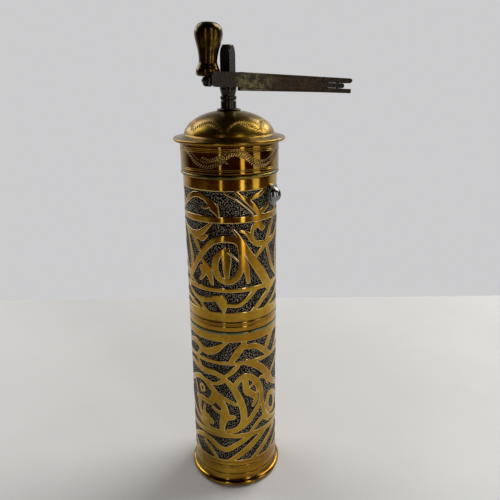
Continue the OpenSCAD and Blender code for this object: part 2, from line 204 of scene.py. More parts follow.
UPPER_MAIN = [
    # roundel with its upright leaf
    ((2.7, 3.1, 2.7, 3.1, 2.7), [(-4, 136.4), (-14, 134), (-18.6, 129), (-16, 123.6), (-8, 120.8),
                                 (2, 120.8), (10, 124), (14, 129.5), (13.5, 135.5), (11, 140)]),
    ((1.0, 4.4, 3.4, 1.6), [(-9, 135.8), (-4.5, 132), (-4.5, 127), (-4.5, 121)]),
    ((0.9, 0.6), [(-4, 136.4), (3, 133.6), (9, 131)]),
    # arch over the roundel and the long falling ribbon
    ((1.6, 2.4, 2.7, 3.0, 3.2), [(-62, 118.5), (-50, 126), (-36, 134), (-22, 139.8), (-8, 141.8),
                                 (6, 141.2), (14, 138.5)]),
    ((0.8, 2.2, 4.0, 4.6, 4.8), [(4, 146.6), (13, 141.5), (22, 134.6), (32, 128.2), (43, 121.6),
                                 (52, 116)]),
    ((0.8, 3.0, 1.6), [(16.5, 134), (19.5, 127), (22, 119.6)]),
    # right-hand scroll
    ((0.8, 2.2, 2.6, 2.6, 2.2), [(13, 145.6), (21, 144.2), (28, 140.4), (36, 138.2), (48, 138.0),
                                 (64, 139.5), (78, 144)]),
    ((3.4, 3.0, 1.6, 1.4), [(42, 146.2), (36, 148), (29, 146.6), (27, 143.4), (31, 140)]),
    ((2.0, 2.4, 2.0, 1.8), [(64, 150), (57, 145), (50, 139), (42, 135.5), (33, 132.6)]),
    ((1.4, 2.2, 2.0), [(49, 138), (54, 131), (62, 124), (76, 118)]),
    ((1.6, 2.4, 2.0), [(90, 148), (80, 140), (72, 130), (76, 120), (90, 118)]),
    # leaf left of the roundel
    ((1.6, 2.0, 1.8), [(-40, 132.8), (-33, 129.4), (-26, 126.4)]),
    ((2.6, 4.2, 3.0, 1.4), [(-38, 126.4), (-31, 126), (-26, 123), (-23, 118.8)]),
    ((3.0, 2.0, 1.4), [(-34, 126.4), (-35, 123), (-40, 120.4)]),
    ((1.6, 1.4), [(-27, 125.6), (-22, 127)]),
    # upper-left leaf
    ((1.2, 2.6, 3.2, 2.2, 1.4), [(-23, 148.8), (-35, 144.6), (-48, 142.8), (-62, 144), (-76, 147)]),
    ((2.4, 2.6, 1.2), [(-51, 143), (-45, 139), (-40, 135.2)]),
    ((2.2, 2.4, 1.0), [(-44, 142.4), (-35, 141.2), (-28, 143.2)]),
    ((1.6, 2.4, 2.0), [(-64, 143.6), (-58, 136), (-55, 129), (-60, 120)]),
    ((1.8, 2.2, 1.6), [(-90, 140), (-78, 134), (-70, 127), (-60, 120)]),
    ((1.4, 1.8, 1.6), [(-84, 124), (-68, 121.4), (-54, 118.8), (-44, 116)]),
    ((1.2, 2.0, 1.2), [(-90, 150), (-82, 146), (-76, 140), (-84, 134)]),
]
UPPER_LOW = [
    ((1.6, 2.2, 2.2, 2.4), [(-70, 115), (-56, 111.4), (-42, 109.6), (-28, 110.2), (-18, 111.4)]),
    ((2.2, 5.2, 4.2, 1.0), [(-21, 111.6), (-13, 110.6), (-10, 108), (-9, 104.6)]),
    ((1.6, 2.0, 2.0, 2.2), [(-10, 109), (-3, 108.2), (8, 108), (16, 109.6), (24, 112.4), (32, 115.6)]),
    ((2.2, 2.4, 2.6), [(27, 103.6), (38, 107.8), (52, 112.2), (66, 116)]),
    ((1.6, 2.0, 1.2), [(-84, 109.6), (-66, 107.4), (-50, 106), (-38, 103.8)]),
    ((2.0, 2.2), [(48, 103.6), (62, 107.4), (80, 111.4), (90, 112)]),
    ((1.4, 1.8), [(-42, 109.4), (-38, 106.4), (-32, 104)]),
]
CUP_FRIEZE = [
    ((1.6, 2.2, 3.2, 3.8, 3.4, 1.2), [(-84, 79), (-66, 83.6), (-52, 84), (-40, 81.4), (-28, 81.6),
                                      (-18, 84.2), (-6, 88)]),
    ((1.2, 1.8, 1.4), [(-54, 76), (-47, 79.4), (-41, 82)]),
    ((1.6, 3.2, 3.6, 3.0), [(-4, 76), (3, 79.6), (9, 83.2), (15, 86.6)]),
    ((2.0, 2.8, 2.6, 2.2), [(13, 84.6), (21, 84.8), (31, 84.2), (40, 81.6), (48, 78.6), (56, 76)]),
    ((2.4, 3.2, 3.6), [(46, 79), (52, 83.4), (60, 88.4)]),
    ((1.4, 2.4, 1.6), [(62, 76), (72, 80), (82, 85), (90, 86)]),
    ((1.6, 2.0, 1.2), [(-90, 84), (-80, 86), (-70, 89)]),
]
CUP_MAIN = [
    # waved ribbon under the top ring
    ((2.0, 2.6, 3.0, 3.0, 2.4), [(-86, 68), (-68, 71), (-52, 70), (-38, 69.4), (-24, 69.4),
                                 (-12, 67.4)]),
    ((1.8, 2.4, 1.4), [(-13, 67.4), (-3, 70.2), (5, 73.4), (9, 76)]),
    ((1.4, 2.4), [(-56, 76), (-50, 73), (-46, 70)]),
    # cross band from the junction down the right of the large roundel
    ((2.2, 3.0, 3.4, 3.4, 3.2, 2.6), [(-14, 67.6), (-4, 63.8), (4, 58.6), (10, 52.4), (13.6, 46),
                                      (12.6, 40), (5, 36.2), (-8, 34.6)]),
    ((1.2, 1.6, 2.2), [(-36, 64), (-24, 63), (-12, 65.6)]),
    # large roundel's upper and left side
    ((2.0, 2.4, 2.6, 3.0, 2.4, 1.6), [(-82, 55), (-68, 60.4), (-54, 63.8), (-42, 63.8), (-32, 61),
                                      (-22, 57.2), (-10, 54.4), (4, 51.4)]),
    ((2.0, 2.6, 2.4, 2.0), [(-84, 50), (-68, 42), (-52, 37.2), (-34, 34.6), (-14, 34.2)]),
    ((1.8, 2.6, 2.6, 2.0), [(-48, 52), (-54, 47), (-50, 41), (-38, 36.2)]),
    # leaves inside it
    ((1.0, 1.0, 1.0, 1.0), [(-46, 60), (-50, 58), (-47, 55.8), (-42, 57), (-44, 59.8)]),
    ((1.0, 1.2), [(-62, 60), (-57, 54), (-52, 50.6)]),
    ((2.4, 3.2, 3.6, 3.0), [(-58, 50.4), (-44, 51.4), (-33, 51), (-27, 54.2), (-25, 58)]),
    ((3.0, 4.4, 3.4, 4.6, 3.4, 2.2), [(-27, 54.6), (-18, 52.6), (-12, 49), (-12, 44), (-15, 39.6),
                                      (-16, 34)]),
    ((3.4, 3.6, 2.2), [(-13, 43), (-6, 43.6), (0, 43.6)]),
    ((2.2, 1.6), [(-14, 46), (-22, 46.6), (-28, 48.4)]),
    ((1.6, 4.0, 3.2), [(-48, 42.4), (-38, 41), (-32, 38.8)]),
    ((1.6, 1.4), [(-40, 41.6), (-44, 44.6), (-42, 47.6)]),
    # right-hand scroll
    ((2.4, 3.0, 3.2, 3.0, 2.8, 2.8, 2.6), [(2, 62.6), (9, 66.4), (17, 68), (26, 66), (34, 62),
                                           (39, 56.6), (39, 51), (30, 45.4), (19, 40), (9, 36.8)]),
    ((2.6, 3.4, 3.6, 2.6, 1.8), [(16, 67.6), (17, 62), (19, 58.6), (26, 56.4), (31, 53.2), (27, 49.6)]),
    ((1.0, 1.2, 1.0), [(23, 61), (28, 62.6), (33, 59.6), (32, 56)]),
    ((3.2, 3.6, 3.4, 2.8), [(19, 76), (32, 73), (44, 68.6), (54, 63.4), (64, 58), (80, 54)]),
    ((1.4, 1.8), [(38, 65), (46, 64), (52, 60.4)]),
    ((2.2, 2.6, 2.4, 2.2), [(39, 52), (43, 47), (45, 42), (54, 37.6), (68, 35.6), (90, 35)]),
    ((2.4, 2.8, 2.4, 2.8, 2.4), [(54, 52), (64, 51), (70, 46), (66, 41), (56, 41), (50, 46), (54, 52)]),
    ((2.2, 2.4), [(52, 60), (62, 66), (78, 70), (90, 71)]),
    ((1.8, 2.4, 2.2), [(18, 30), (30, 36.4), (42, 39.4), (54, 36)]),
    ((1.4, 2.0), [(72, 50), (80, 46), (90, 45)]),
]
CUP_LOW = [
    ((1.8, 2.8, 3.2, 3.0, 2.8, 2.6), [(-78, 21), (-60, 26), (-44, 28), (-32, 26.8), (-20, 23.6),
                                      (-10, 23), (2, 26), (14, 29), (26, 32)]),
    ((1.6, 2.0, 1.6), [(-88, 25), (-70, 20.6), (-54, 15.4)]),
    ((2.0, 2.4, 1.4), [(-44, 24.6), (-33, 20.6), (-24, 15.4)]),
    ((2.0, 3.2, 3.4, 3.0), [(-8, 15.4), (6, 19.4), (19, 23.4), (32, 27.4), (44, 31)]),
    ((2.2, 3.0, 2.6), [(24, 15.4), (38, 20), (52, 24.6), (68, 29.6)]),
    ((1.8, 2.2), [(52, 15.4), (66, 19.6), (82, 23), (90, 24)]),
    ((1.2, 1.6), [(-90, 30), (-82, 27), (-72, 24)]),
]


def fold(degrees):
    """The back of a tube carries the front's pattern, mirrored at 90 degrees."""
    return np.where(degrees > 90, 180 - degrees, np.where(degrees < -90, -180 - degrees, degrees))


def stroke_field(u, z, strokes, radius, spread=0.0):
    """Signed distance in mm to the strokes, positive inside, on a grid of u (mm) by z (mm)."""
    field = np.full((len(z), len(u)), -FAR)
    for widths, points in strokes:
        path = catmull(points)
        path[:, 0] *= DEG * radius
        along = np.linspace(0, 1, len(path))
        half = np.interp(along, np.linspace(0, 1, len(widths)), widths) / 2 + spread
        for a, b, wa, wb in zip(path[:-1], path[1:], half[:-1], half[1:]):
            add_segment(field, u, z, a, b, wa, wb)
    return field


def add_segment(field, u, z, a, b, wa, wb):
    """Raises the field near one tapering segment."""
    reach = max(wa, wb) + STROKE_MARGIN
    i0, i1 = np.searchsorted(u, [min(a[0], b[0]) - reach, max(a[0], b[0]) + reach])
    j0, j1 = np.searchsorted(z, [min(a[1], b[1]) - reach, max(a[1], b[1]) + reach])
    if i0 >= i1 or j0 >= j1:
        return
    du, dz = b[0] - a[0], b[1] - a[1]
    uu, zz = np.meshgrid(u[i0:i1] - a[0], z[j0:j1] - a[1])
    t = np.clip((uu * du + zz * dz) / max(du * du + dz * dz, 1e-9), 0, 1)
    inside = wa + (wb - wa) * t - np.hypot(uu - du * t, zz - dz * t)
    part = field[j0:j1, i0:i1]
    np.maximum(part, inside, out=part)


def band_field(z, bands):
    """Distance in mm into the plain rings, positive there and negative inside the bands."""
    out = np.full(len(z), FAR)
    for low, high in bands:
        out = np.minimum(out, np.maximum(low - z, z - high))
    return out


def smoothstep(low, high, x):
    """0 at low and 1 at high, eased at both ends."""
    t = np.clip((x - low) / (high - low), 0, 1)
    return t * t * (3 - 2 * t)


def set_attribute(mesh, name, kind, values):
    """Writes a point attribute from a numpy array."""
    layer = mesh.attributes.new(name, kind, "POINT")
    key = "vector" if kind == "FLOAT_VECTOR" else "value"
    layer.data.foreach_set(key, np.asarray(values, np.float32).ravel())


def outside_attribute(obj, name, values, rest):
    """A float attribute over a piece's outside grid; its other points get the one value."""
    flat = values.ravel()
    others = np.full(len(obj.data.vertices) - len(flat), rest)
    set_attribute(obj.data, name, "FLOAT", np.concatenate([flat, others]))


def columns(count, radius):
    """Angles of a grid's columns, their places on the front half, and that half's arc in mm."""
    turn = np.arange(count) * 360.0 / count - 180.0
    index = np.rint((fold(turn) + 90.0) / (360.0 / count)).astype(int)
    half_arc = np.linspace(-90, 90, count // 2 + 1) * DEG * radius
    return turn, index, half_arc


def around(values, count):
    """Each row's value, repeated round the tube."""
    return np.repeat(values[:, None], count, 1)


def grid_faces(rows, cols):
    """Quads of a grid that closes on itself along its columns."""
    faces = []
    for j in range(rows - 1):
        base, above = j * cols, (j + 1) * cols
        for i in range(cols):
            k = (i + 1) % cols
            faces.append((base + i, base + k, above + k, above + i))
    return faces


def bore_faces(rows, cols):
    """Quads of a tube's bore and of both its ends, after the outside grid."""
    low = rows * cols
    high = low + cols
    top = low - cols
    faces = []
    for i in range(cols):
        j = (i + 1) % cols
        faces.append((low + j, j, i, low + i))
        faces.append((top + i, top + j, high + j, high + i))
        faces.append((low + i, high + i, high + j, low + j))
    return faces


def line_grooves(z, lines, seam):
    """Depth, 0 to 1, of the turned lines at each height, and of a seam at the lower end."""
    groove = np.zeros(len(z))
    for at in lines:
        groove = np.maximum(groove, np.exp(-((z - z[0] - at) / LINE_HALF_WIDTH) ** 2))
    if seam:
        groove = np.maximum(groove, smoothstep(0.75, 0.3, z - z[0]))
    return groove


def chased_tube(name, z0, z1, bands, strokes, lines, stained_rim=False):
    """A closed tube whose outside carries chased bands in real relief."""
    cols = TUBE_COLUMNS
    rows = int(round((z1 - z0) / TUBE_PITCH)) + 1
    z = np.linspace(z0, z1, rows)
    turn, index, half_arc = columns(cols, R_BODY)
    scrolls = stroke_field(half_arc, z, strokes, R_BODY, STROKE_SPREAD)
    plain = band_field(z, [(z0 + low, z0 + high) for low, high in bands])
    edge = np.maximum(scrolls, plain[:, None])[:, index]
    groove = line_grooves(z, lines, seam=not stained_rim)
    ground = smoothstep(-0.22, 0.16, edge) - 1
    radius = R_BODY + RELIEF * ground - LINE_DEPTH * groove[:, None]
    radius[0] -= LOW_CHAMFER
    radius[-1] -= HIGH_CHAMFER
    a = (turn - 90.0) * DEG
    outer = np.stack([radius * np.cos(a), radius * np.sin(a), around(z, cols)], -1)
    bore = np.array([[R_BORE * math.cos(t), R_BORE * math.sin(t)] for t in a])
    low = np.column_stack([bore, np.full(cols, z0)])
    high = np.column_stack([bore, np.full(cols, z1)])
    verts = np.vstack([outer.reshape(-1, 3), low, high])
    obj = new_mesh(name, verts, grid_faces(rows, cols) + bore_faces(rows, cols), 50.0)
    outside_attribute(obj, "edge", edge, 2.0)
    outside_attribute(obj, "line", around(groove, cols), 0.0)
    green = smoothstep(1.0, 0.7, z1 - z) if stained_rim else np.zeros(rows)
    outside_attribute(obj, "rim", around(green, cols), 0.0)
    across = np.repeat((fold(turn) * DEG * R_BODY)[None, :], rows, 0)
    flat = np.stack([across, around(z, cols), np.zeros((rows, cols))], -1).reshape(-1, 3)
    set_attribute(obj.data, "flat_at", "FLOAT_VECTOR", np.vstack([flat, np.zeros((2 * cols, 3))]))
    return obj


def run_along(points):
    """Length run along a path at each of its points."""
    return np.concatenate([[0], np.cumsum(np.hypot(*np.diff(points, axis=0).T))])


def path_at(points, run, at):
    """The place on a path where its length reaches a value."""
    return np.interp(at, run, points[:, 0]), np.interp(at, run, points[:, 1])


def engraved_turning(name, outer, inner, strokes, ref_r, depth=0.14, cols=480, pitch=0.3):
    """A turned solid whose outer outline, drawn upward, carries cut strokes.

    The inner outline closes it. Strokes are laid out in degrees and in mm along the outer outline.
    """
    outline = np.asarray(outer, float)
    length = run_along(outline)
    run = np.linspace(0, length[-1], int(length[-1] / pitch) + 1)
    pts = np.column_stack(path_at(outline, length, run))
    along = np.gradient(pts, axis=0)
    along /= np.maximum(np.linalg.norm(along, axis=1, keepdims=True), 1e-9)
    turn, index, half_arc = columns(cols, ref_r)
    cut = smoothstep(-0.2, 0.12, stroke_field(half_arc, run, strokes, ref_r))[:, index]
    r = pts[:, :1] - depth * cut * along[:, 1:]
    z = pts[:, 1:] + depth * cut * along[:, :1]
    a = (turn - 90.0) * DEG
    grid = np.stack([r * np.cos(a), r * np.sin(a), np.broadcast_to(z, r.shape)], -1).reshape(-1, 3)
    back = [np.column_stack([q[0] * np.cos(a), q[0] * np.sin(a), np.full(cols, q[1])]) for q in inner]
    rows = len(pts) + len(inner)
    faces = grid_faces(rows, cols)
    last = (rows - 1) * cols
    faces += [(last + i, last + (i + 1) % cols, (i + 1) % cols, i) for i in range(cols)]
    obj = new_mesh(name, np.vstack([grid] + back), faces, 35.0)
    outside_attribute(obj, "cut", cut, 0.0)
    return obj


def ticks(path, spacing, length, slant, width, ref_r):
    """Short slanted strokes along a path of (degrees, mm) points."""
    line = catmull(path, 12)
    line[:, 0] *= DEG * ref_r
    run = run_along(line)
    ahead = 0.3
    out = []
    for at in np.arange(spacing / 2, run[-1], spacing):
        x, z = path_at(line, run, at)
        next_x, next_z = path_at(line, run, at + ahead)
        angle = math.atan2(next_z - z, next_x - x) + slant * DEG
        dx, dz = math.cos(angle) * length / 2, math.sin(angle) * length / 2
        ends = [((x - dx) / ref_r / DEG, z - dz), ((x + dx) / ref_r / DEG, z + dz)]
        out.append(((width, width / 2), ends))
    return out


# ---------------------------------------------------------------- materials
class Nodes:
    """Short names for building a node tree."""

    def __init__(self, name):
        self.material = bpy.data.materials.new(name)
        self.material.use_nodes = True
        self.tree = self.material.node_tree
        self.tree.nodes.clear()
        self.out = self.tree.nodes.new("ShaderNodeOutputMaterial")
        self.shader = self.tree.nodes.new("ShaderNodeBsdfPrincipled")
        self.link(self.shader.outputs[0], self.out.inputs[0])

    def link(self, a, b):
        self.tree.links.new(a, b)

    def put(self, socket, value):
        if isinstance(value, bpy.types.NodeSocket):
            self.link(value, socket)
        else:
            socket.default_value = value

    def node(self, kind, **settings):
        made = self.tree.nodes.new(kind)
        for key, value in settings.items():
            setattr(made, key, value)
        return made

    def attribute(self, name, output="Fac"):
        return self.node("ShaderNodeAttribute", attribute_name=name).outputs[output]

    def coords(self, scale):
        mapping = self.node("ShaderNodeMapping")
        self.link(self.node("ShaderNodeTexCoord").outputs["Object"], mapping.inputs["Vector"])
        mapping.inputs["Scale"].default_value = scale
        return mapping.outputs[0]

    def noise(self, scale, detail, rough, vector=None):
        made = self.node("ShaderNodeTexNoise")
        made.inputs["Scale"].default_value = scale
        made.inputs["Detail"].default_value = detail
        made.inputs["Roughness"].default_value = rough
        self.link(vector or self.node("ShaderNodeTexCoord").outputs["Object"], made.inputs["Vector"])
        return made.outputs["Fac"]

    def math(self, operation, a, b):
        made = self.node("ShaderNodeMath", operation=operation)
        self.put(made.inputs[0], a)
        self.put(made.inputs[1], b)
        return made.outputs[0]

    def remap(self, value, low, high, to_low=0.0, to_high=1.0):
        made = self.node("ShaderNodeMapRange")
        made.interpolation_type = "SMOOTHSTEP"
        made.clamp = True
        self.put(made.inputs["Value"], value)
        made.inputs["From Min"].default_value = low
        made.inputs["From Max"].default_value = high
        made.inputs["To Min"].default_value = to_low
        made.inputs["To Max"].default_value = to_high
        return made.outputs["Result"]

    def stretch(self, value, rise, fall):
        """1 between the two ramps of a value, 0 outside them."""
        return self.math("MULTIPLY", self.remap(value, *rise), self.remap(value, *fall))

    def mix(self, factor, a, b):
        made = self.node("ShaderNodeMix", data_type="RGBA")
        self.put(made.inputs["Factor"], factor)
        self.put(made.inputs[6], a)
        self.put(made.inputs[7], b)
        return made.outputs[2]

    def bump(self, height, strength, distance, normal=None):
        made = self.node("ShaderNodeBump")
        made.inputs["Strength"].default_value = strength
        made.inputs["Distance"].default_value = distance
        self.put(made.inputs["Height"], height)
        if normal is not None:
            self.link(normal, made.inputs["Normal"])
        return made.outputs[0]

    def set(self, name, value):
        self.put(self.shader.inputs[name], value)


def rgb(r, g, b):
    """An opaque colour."""
    return (r, g, b, 1.0)


def scaled(colour, factor):
    """The same colour, lighter or darker."""
    return rgb(*(part * factor for part in colour[:3]))


# brass
GOLD = rgb(0.47, 0.285, 0.032)
AMBER = rgb(0.38, 0.185, 0.014)
OLIVE = rgb(0.21, 0.15, 0.024)
HONEY = rgb(0.26, 0.13, 0.02)
# pale edge of the scrolls: partly burnished wear, partly a painted highlight
WORN_SHEEN = rgb(0.95, 0.84, 0.50)
# painted highlight: the pale glint of the punch marks
PUNCH_GLINT = rgb(0.62, 0.56, 0.42)
# painted highlight: engraved cuts coloured pale, as though they caught the light
CUT_GLINT = rgb(0.62, 0.50, 0.24)
CUT_DARK = rgb(0.05, 0.03, 0.008)
# dirt and tarnish on brass, and a near-black used for painted shade
SOOT = rgb(0.008, 0.006, 0.004)
OLD_SOOT = rgb(0.022, 0.016, 0.010)
LINE_DIRT = rgb(0.05, 0.025, 0.008)
PAINTED_SHADE = rgb(0.012, 0.006, 0.002)
UMBER = rgb(0.10, 0.045, 0.012)
VERDIGRIS = rgb(0.15, 0.21, 0.13)
GREEN_GRIME = rgb(0.085, 0.090, 0.035)
# darker patches on the cap's bush, laid on by noise
BUSH_DARKENING = rgb(0.030, 0.020, 0.008)
KNOB_GRIME = rgb(0.060, 0.043, 0.010)
# steel and iron
STEEL_DARK = rgb(0.012, 0.010, 0.008)
STEEL_WORN = rgb(0.058, 0.050, 0.036)
STEEL_BROWN = rgb(0.028, 0.012, 0.006)
# painted light: the lighter olive of the crank arm's face where it catches the light
STEEL_LIT = rgb(0.140, 0.125, 0.060)
STEEL_RUST = rgb(0.070, 0.034, 0.020)
PLATED = rgb(0.30, 0.30, 0.29)
PLATED_WORN = rgb(0.17, 0.165, 0.15)
IRON_DARK = rgb(0.05, 0.048, 0.045)
IRON_PALE = rgb(0.17, 0.165, 0.155)
# surroundings
FLOOR_LOW = rgb(0.70, 0.69, 0.67)
FLOOR_HIGH = rgb(0.78, 0.77, 0.75)
ROOM_DARK = rgb(0.055, 0.022, 0.014)
ROOM_BRIGHT = rgb(0.60, 0.60, 0.61)


def brass_colour(n):
    """Polished brass that has toned unevenly: gold, amber and olive patches."""
    broad = n.noise(38.0, 3.0, 0.6)
    fine = n.noise(420.0, 5.0, 0.6)
    toned = n.mix(n.remap(broad, 0.40, 0.64), GOLD, AMBER)
    return n.mix(n.remap(fine, 0.48, 0.72, 0.0, 0.6), toned, OLIVE)


def turned_scratches(n):
    """Fine marks that run round the axis."""
    return n.noise(1.0, 3.0, 0.6, n.coords((60.0, 60.0, 5200.0)))


def brushed_round(n, amount):
    """Stretches the highlights along the axis, as turning marks do."""
    tangent = n.node("ShaderNodeTangent", direction_type="RADIAL", axis="Z")
    n.link(tangent.outputs[0], n.shader.inputs["Tangent"])
    n.shader.inputs["Anisotropic"].default_value = amount
    n.shader.inputs["Anisotropic Rotation"].default_value = 0.25


def plain_brass(name, tarnish, rough, grime=None, brushed=0.5, dark=1.0, cut_tone=CUT_GLINT):
    """Turned brass; a "cut" attribute, where there is one, tints engraved strokes. A dark below 1 paints
    shade evenly into the whole colour.
    """
    n = Nodes(name)
    stain = n.remap(n.noise(90.0, 5.0, 0.65), 0.35, 0.7, 0.0, tarnish)
    colour = n.mix(stain, brass_colour(n), UMBER)
    if grime:
        colour = n.mix(n.remap(n.noise(210.0, 4.0, 0.6), 0.22, 0.66), colour, grime)
    cut = n.attribute("cut")
    # with the pale default tone the cuts carry a painted highlight
    colour = n.mix(n.math("MULTIPLY", cut, 0.85), colour, cut_tone)
    # painted shade: with dark below 1 the whole colour is mixed evenly towards a near-black, standing in
    # for the dark room that the brass reflects
    if dark < 1.0:
        colour = n.mix(1.0 - dark, colour, PAINTED_SHADE)
    n.set("Base Color", colour)
    n.set("Metallic", 1.0)
    scratch = turned_scratches(n)
    worn = n.remap(scratch, 0.2, 0.8, rough - 0.03, rough + 0.05)
    n.set("Roughness", n.math("ADD", worn, n.math("MULTIPLY", cut, 0.3)))
    n.set("Normal", n.bump(scratch, 0.03, 0.00005))
    brushed_round(n, brushed)
    return n.material


def punched_dots(n, flat):
    """Small punch marks about a millimetre apart, 0 to 1."""
    wobble = n.node("ShaderNodeVectorMath", operation="ADD")
    jitter = n.node("ShaderNodeTexNoise")
    jitter.inputs["Scale"].default_value = 0.35
    n.link(flat, jitter.inputs["Vector"])
    n.link(flat, wobble.inputs[0])
    n.link(jitter.outputs["Color"], wobble.inputs[1])
    dots = n.node("ShaderNodeTexVoronoi", feature="F1", voronoi_dimensions="2D")
    dots.inputs["Scale"].default_value = 1.08
    dots.inputs["Randomness"].default_value = 0.8
    n.link(wobble.outputs[0], dots.inputs["Vector"])
    return n.remap(dots.outputs["Distance"], 0.30, 0.14)


def scroll_colour(n, edge, patina):
    """The raised scrolls: toned gold, a pale edge that is partly burnished wear and partly a painted
    highlight, nicks, dirty lines and a green rim.
    """
    # partly painted highlight: a pale band along each scroll's edge stands for burnishing and for light
    # caught on the edge
    edge_sheen_and_wear = n.stretch(edge, (0.0, 0.10), (0.42, 0.16))
    gold = n.mix(n.math("MULTIPLY", edge_sheen_and_wear, 0.5), brass_colour(n), WORN_SHEEN)
    stain = n.remap(n.noise(120.0, 4.0, 0.6), 0.50, 0.72, 0.0, 0.55)
    gold = n.mix(stain, gold, HONEY)
    nicks = n.remap(n.noise(900.0, 2.0, 0.5), 0.69, 0.74)
    gold = n.mix(n.math("MULTIPLY", nicks, 0.7), gold, SOOT)
    gold = n.mix(n.math("MULTIPLY", n.attribute("line"), 0.85), gold, LINE_DIRT)
    return n.mix(patina, gold, VERDIGRIS)


def ground_colour(n, dot, outline):
    """The sunk ground: soot with punch marks painted pale as glints, darkest next to the scrolls."""
    soot = n.mix(n.remap(n.noise(240.0, 3.0, 0.6), 0.4, 0.7), SOOT, OLD_SOOT)
    shine = n.remap(n.noise(150.0, 2.0, 0.5), 0.30, 0.62, 0.30, 0.95)
    # painted highlight: punch marks coloured pale as glints, their brightness varied by noise
    ground = n.mix(n.math("MULTIPLY", dot, shine), soot, PUNCH_GLINT)
    return n.mix(outline, ground, SOOT)


def chased_brass(name):
    """Raised gold scrolls over a dark, punched ground, with a pale edge that is partly burnished wear and
    partly a painted highlight, and a dark outline.
    """
    n = Nodes(name)
    edge = n.attribute("edge")
    raised = n.remap(edge, -0.10, 0.06)
    outline = n.stretch(edge, (-0.45, -0.16), (0.02, -0.06))
    dot = punched_dots(n, n.attribute("flat_at", "Vector"))
    blotches = n.remap(n.noise(260.0, 3.0, 0.6), 0.34, 0.44)
    patina = n.math("MULTIPLY", n.attribute("rim"), blotches)
    n.set("Base Color", n.mix(raised, ground_colour(n, dot, outline), scroll_colour(n, edge, patina)))
    n.set("Metallic", n.math("SUBTRACT", 1.0, patina))
    scratch = turned_scratches(n)
    blend = n.node("ShaderNodeMix", data_type="FLOAT")
    n.link(raised, blend.inputs[0])
    n.link(n.remap(dot, 0.0, 1.0, 0.62, 0.36), blend.inputs[2])
    n.link(n.remap(scratch, 0.2, 0.8, 0.11, 0.20), blend.inputs[3])
    n.set("Roughness", blend.outputs[0])
    pips = n.math("MULTIPLY", n.math("MULTIPLY", dot, 0.45), n.remap(edge, -0.1, -0.3))
    lift = n.math("ADD", n.remap(edge, -0.14, 0.12), pips)
    lift = n.math("SUBTRACT", lift, n.math("MULTIPLY", outline, 0.35))
    normal = n.bump(lift, 0.8, 0.00016)
    n.set("Normal", n.bump(scratch, 0.03, 0.00005, normal))
    brushed_round(n, 0.5)
    return n.material


def dark_steel(name, rust=0.5, light=1.0, rough=0.40):
    """Worn, darkened steel: brown blotches, with a lighter olive stretch along X that is painted light,
    and a rusty stretch along X.
    """
    n = Nodes(name)
    blotch = n.noise(160.0, 6.0, 0.65)
    fine = n.noise(1400.0, 4.0, 0.6)
    base = n.mix(n.remap(fine, 0.3, 0.7), scaled(STEEL_DARK, light), scaled(STEEL_WORN, light))
    base = n.mix(n.remap(blotch, 0.46, 0.66, 0.0, rust), base, STEEL_BROWN)
    split = n.node("ShaderNodeSeparateXYZ")
    n.link(n.node("ShaderNodeTexCoord").outputs["Object"], split.inputs[0])
    reach = split.outputs["X"]
    worn = n.remap(n.noise(420.0, 4.0, 0.7), 0.42, 0.60)
    # painted light: a lighter olive stretch of the arm's face, where it catches the light, mottled by
    # noise
    olive = n.stretch(reach, (0.003, 0.007), (0.026, 0.012))
    base = n.mix(n.math("MULTIPLY", olive, worn), base, STEEL_LIT)
    rusty = n.stretch(reach, (0.018, 0.034), (0.052, 0.040))
    n.set("Base Color", n.mix(n.math("MULTIPLY", rusty, worn), base, STEEL_RUST))
    n.set("Metallic", n.remap(blotch, 0.45, 0.75, 0.95, 0.5))
    n.set("Roughness", n.remap(fine, 0.25, 0.75, rough - 0.12, rough + 0.14))
    height = n.math("ADD", n.math("MULTIPLY", blotch, 0.7), n.math("MULTIPLY", fine, 0.3))
    n.set("Normal", n.bump(height, 0.35, 0.0002))
    return n.material


def bright_steel(name):
    """Plated screw steel with light wear."""
    n = Nodes(name)
    fine = n.noise(900.0, 4.0, 0.6)
    n.set("Base Color", n.mix(n.remap(fine, 0.4, 0.7), PLATED, PLATED_WORN))
    n.set("Metallic", 1.0)
    n.set("Roughness", n.remap(fine, 0.3, 0.7, 0.14, 0.26))
    n.set("Normal", n.bump(fine, 0.1, 0.0001))
    return n.material


def cast_iron(name):
    """Grainy grey iron for the grinding set."""
    n = Nodes(name)
    grain = n.noise(1100.0, 5.0, 0.7)
    n.set("Base Color", n.mix(n.remap(grain, 0.3, 0.7), IRON_DARK, IRON_PALE))
    n.set("Metallic", 0.9)
    n.set("Roughness", n.remap(grain, 0.3, 0.7, 0.45, 0.65))
    n.set("Normal", n.bump(grain, 0.5, 0.0002))
    return n.material


CHASED = chased_brass("chased_brass")
# dark below 1 paints shade into the colour of the drum, the dome, the bush and the knob
TURNED = plain_brass("turned_brass", tarnish=0.8, rough=0.08, dark=0.72)
DOME_BRASS = plain_brass("dome_brass", tarnish=0.5, rough=0.27, brushed=0.2, dark=0.72, cut_tone=CUT_DARK)
GREEN = plain_brass("stained_brass", tarnish=0.8, rough=0.30, grime=GREEN_GRIME)
AGED = plain_brass("aged_brass", tarnish=0.9, rough=0.16)
DARK_BRASS = plain_brass("dark_brass", tarnish=0.9, rough=0.3, grime=BUSH_DARKENING, brushed=0.0, dark=0.3)
KNOB_BRASS = plain_brass("knob_brass", tarnish=0.9, rough=0.20, grime=KNOB_GRIME, brushed=0.0, dark=0.6)
STEEL = dark_steel("dark_steel")
SHAFT_STEEL = dark_steel("shaft_steel", rust=0.25, light=1.2, rough=0.24)
BRIGHT = bright_steel("bright_steel")
IRON = cast_iron("cast_iron")


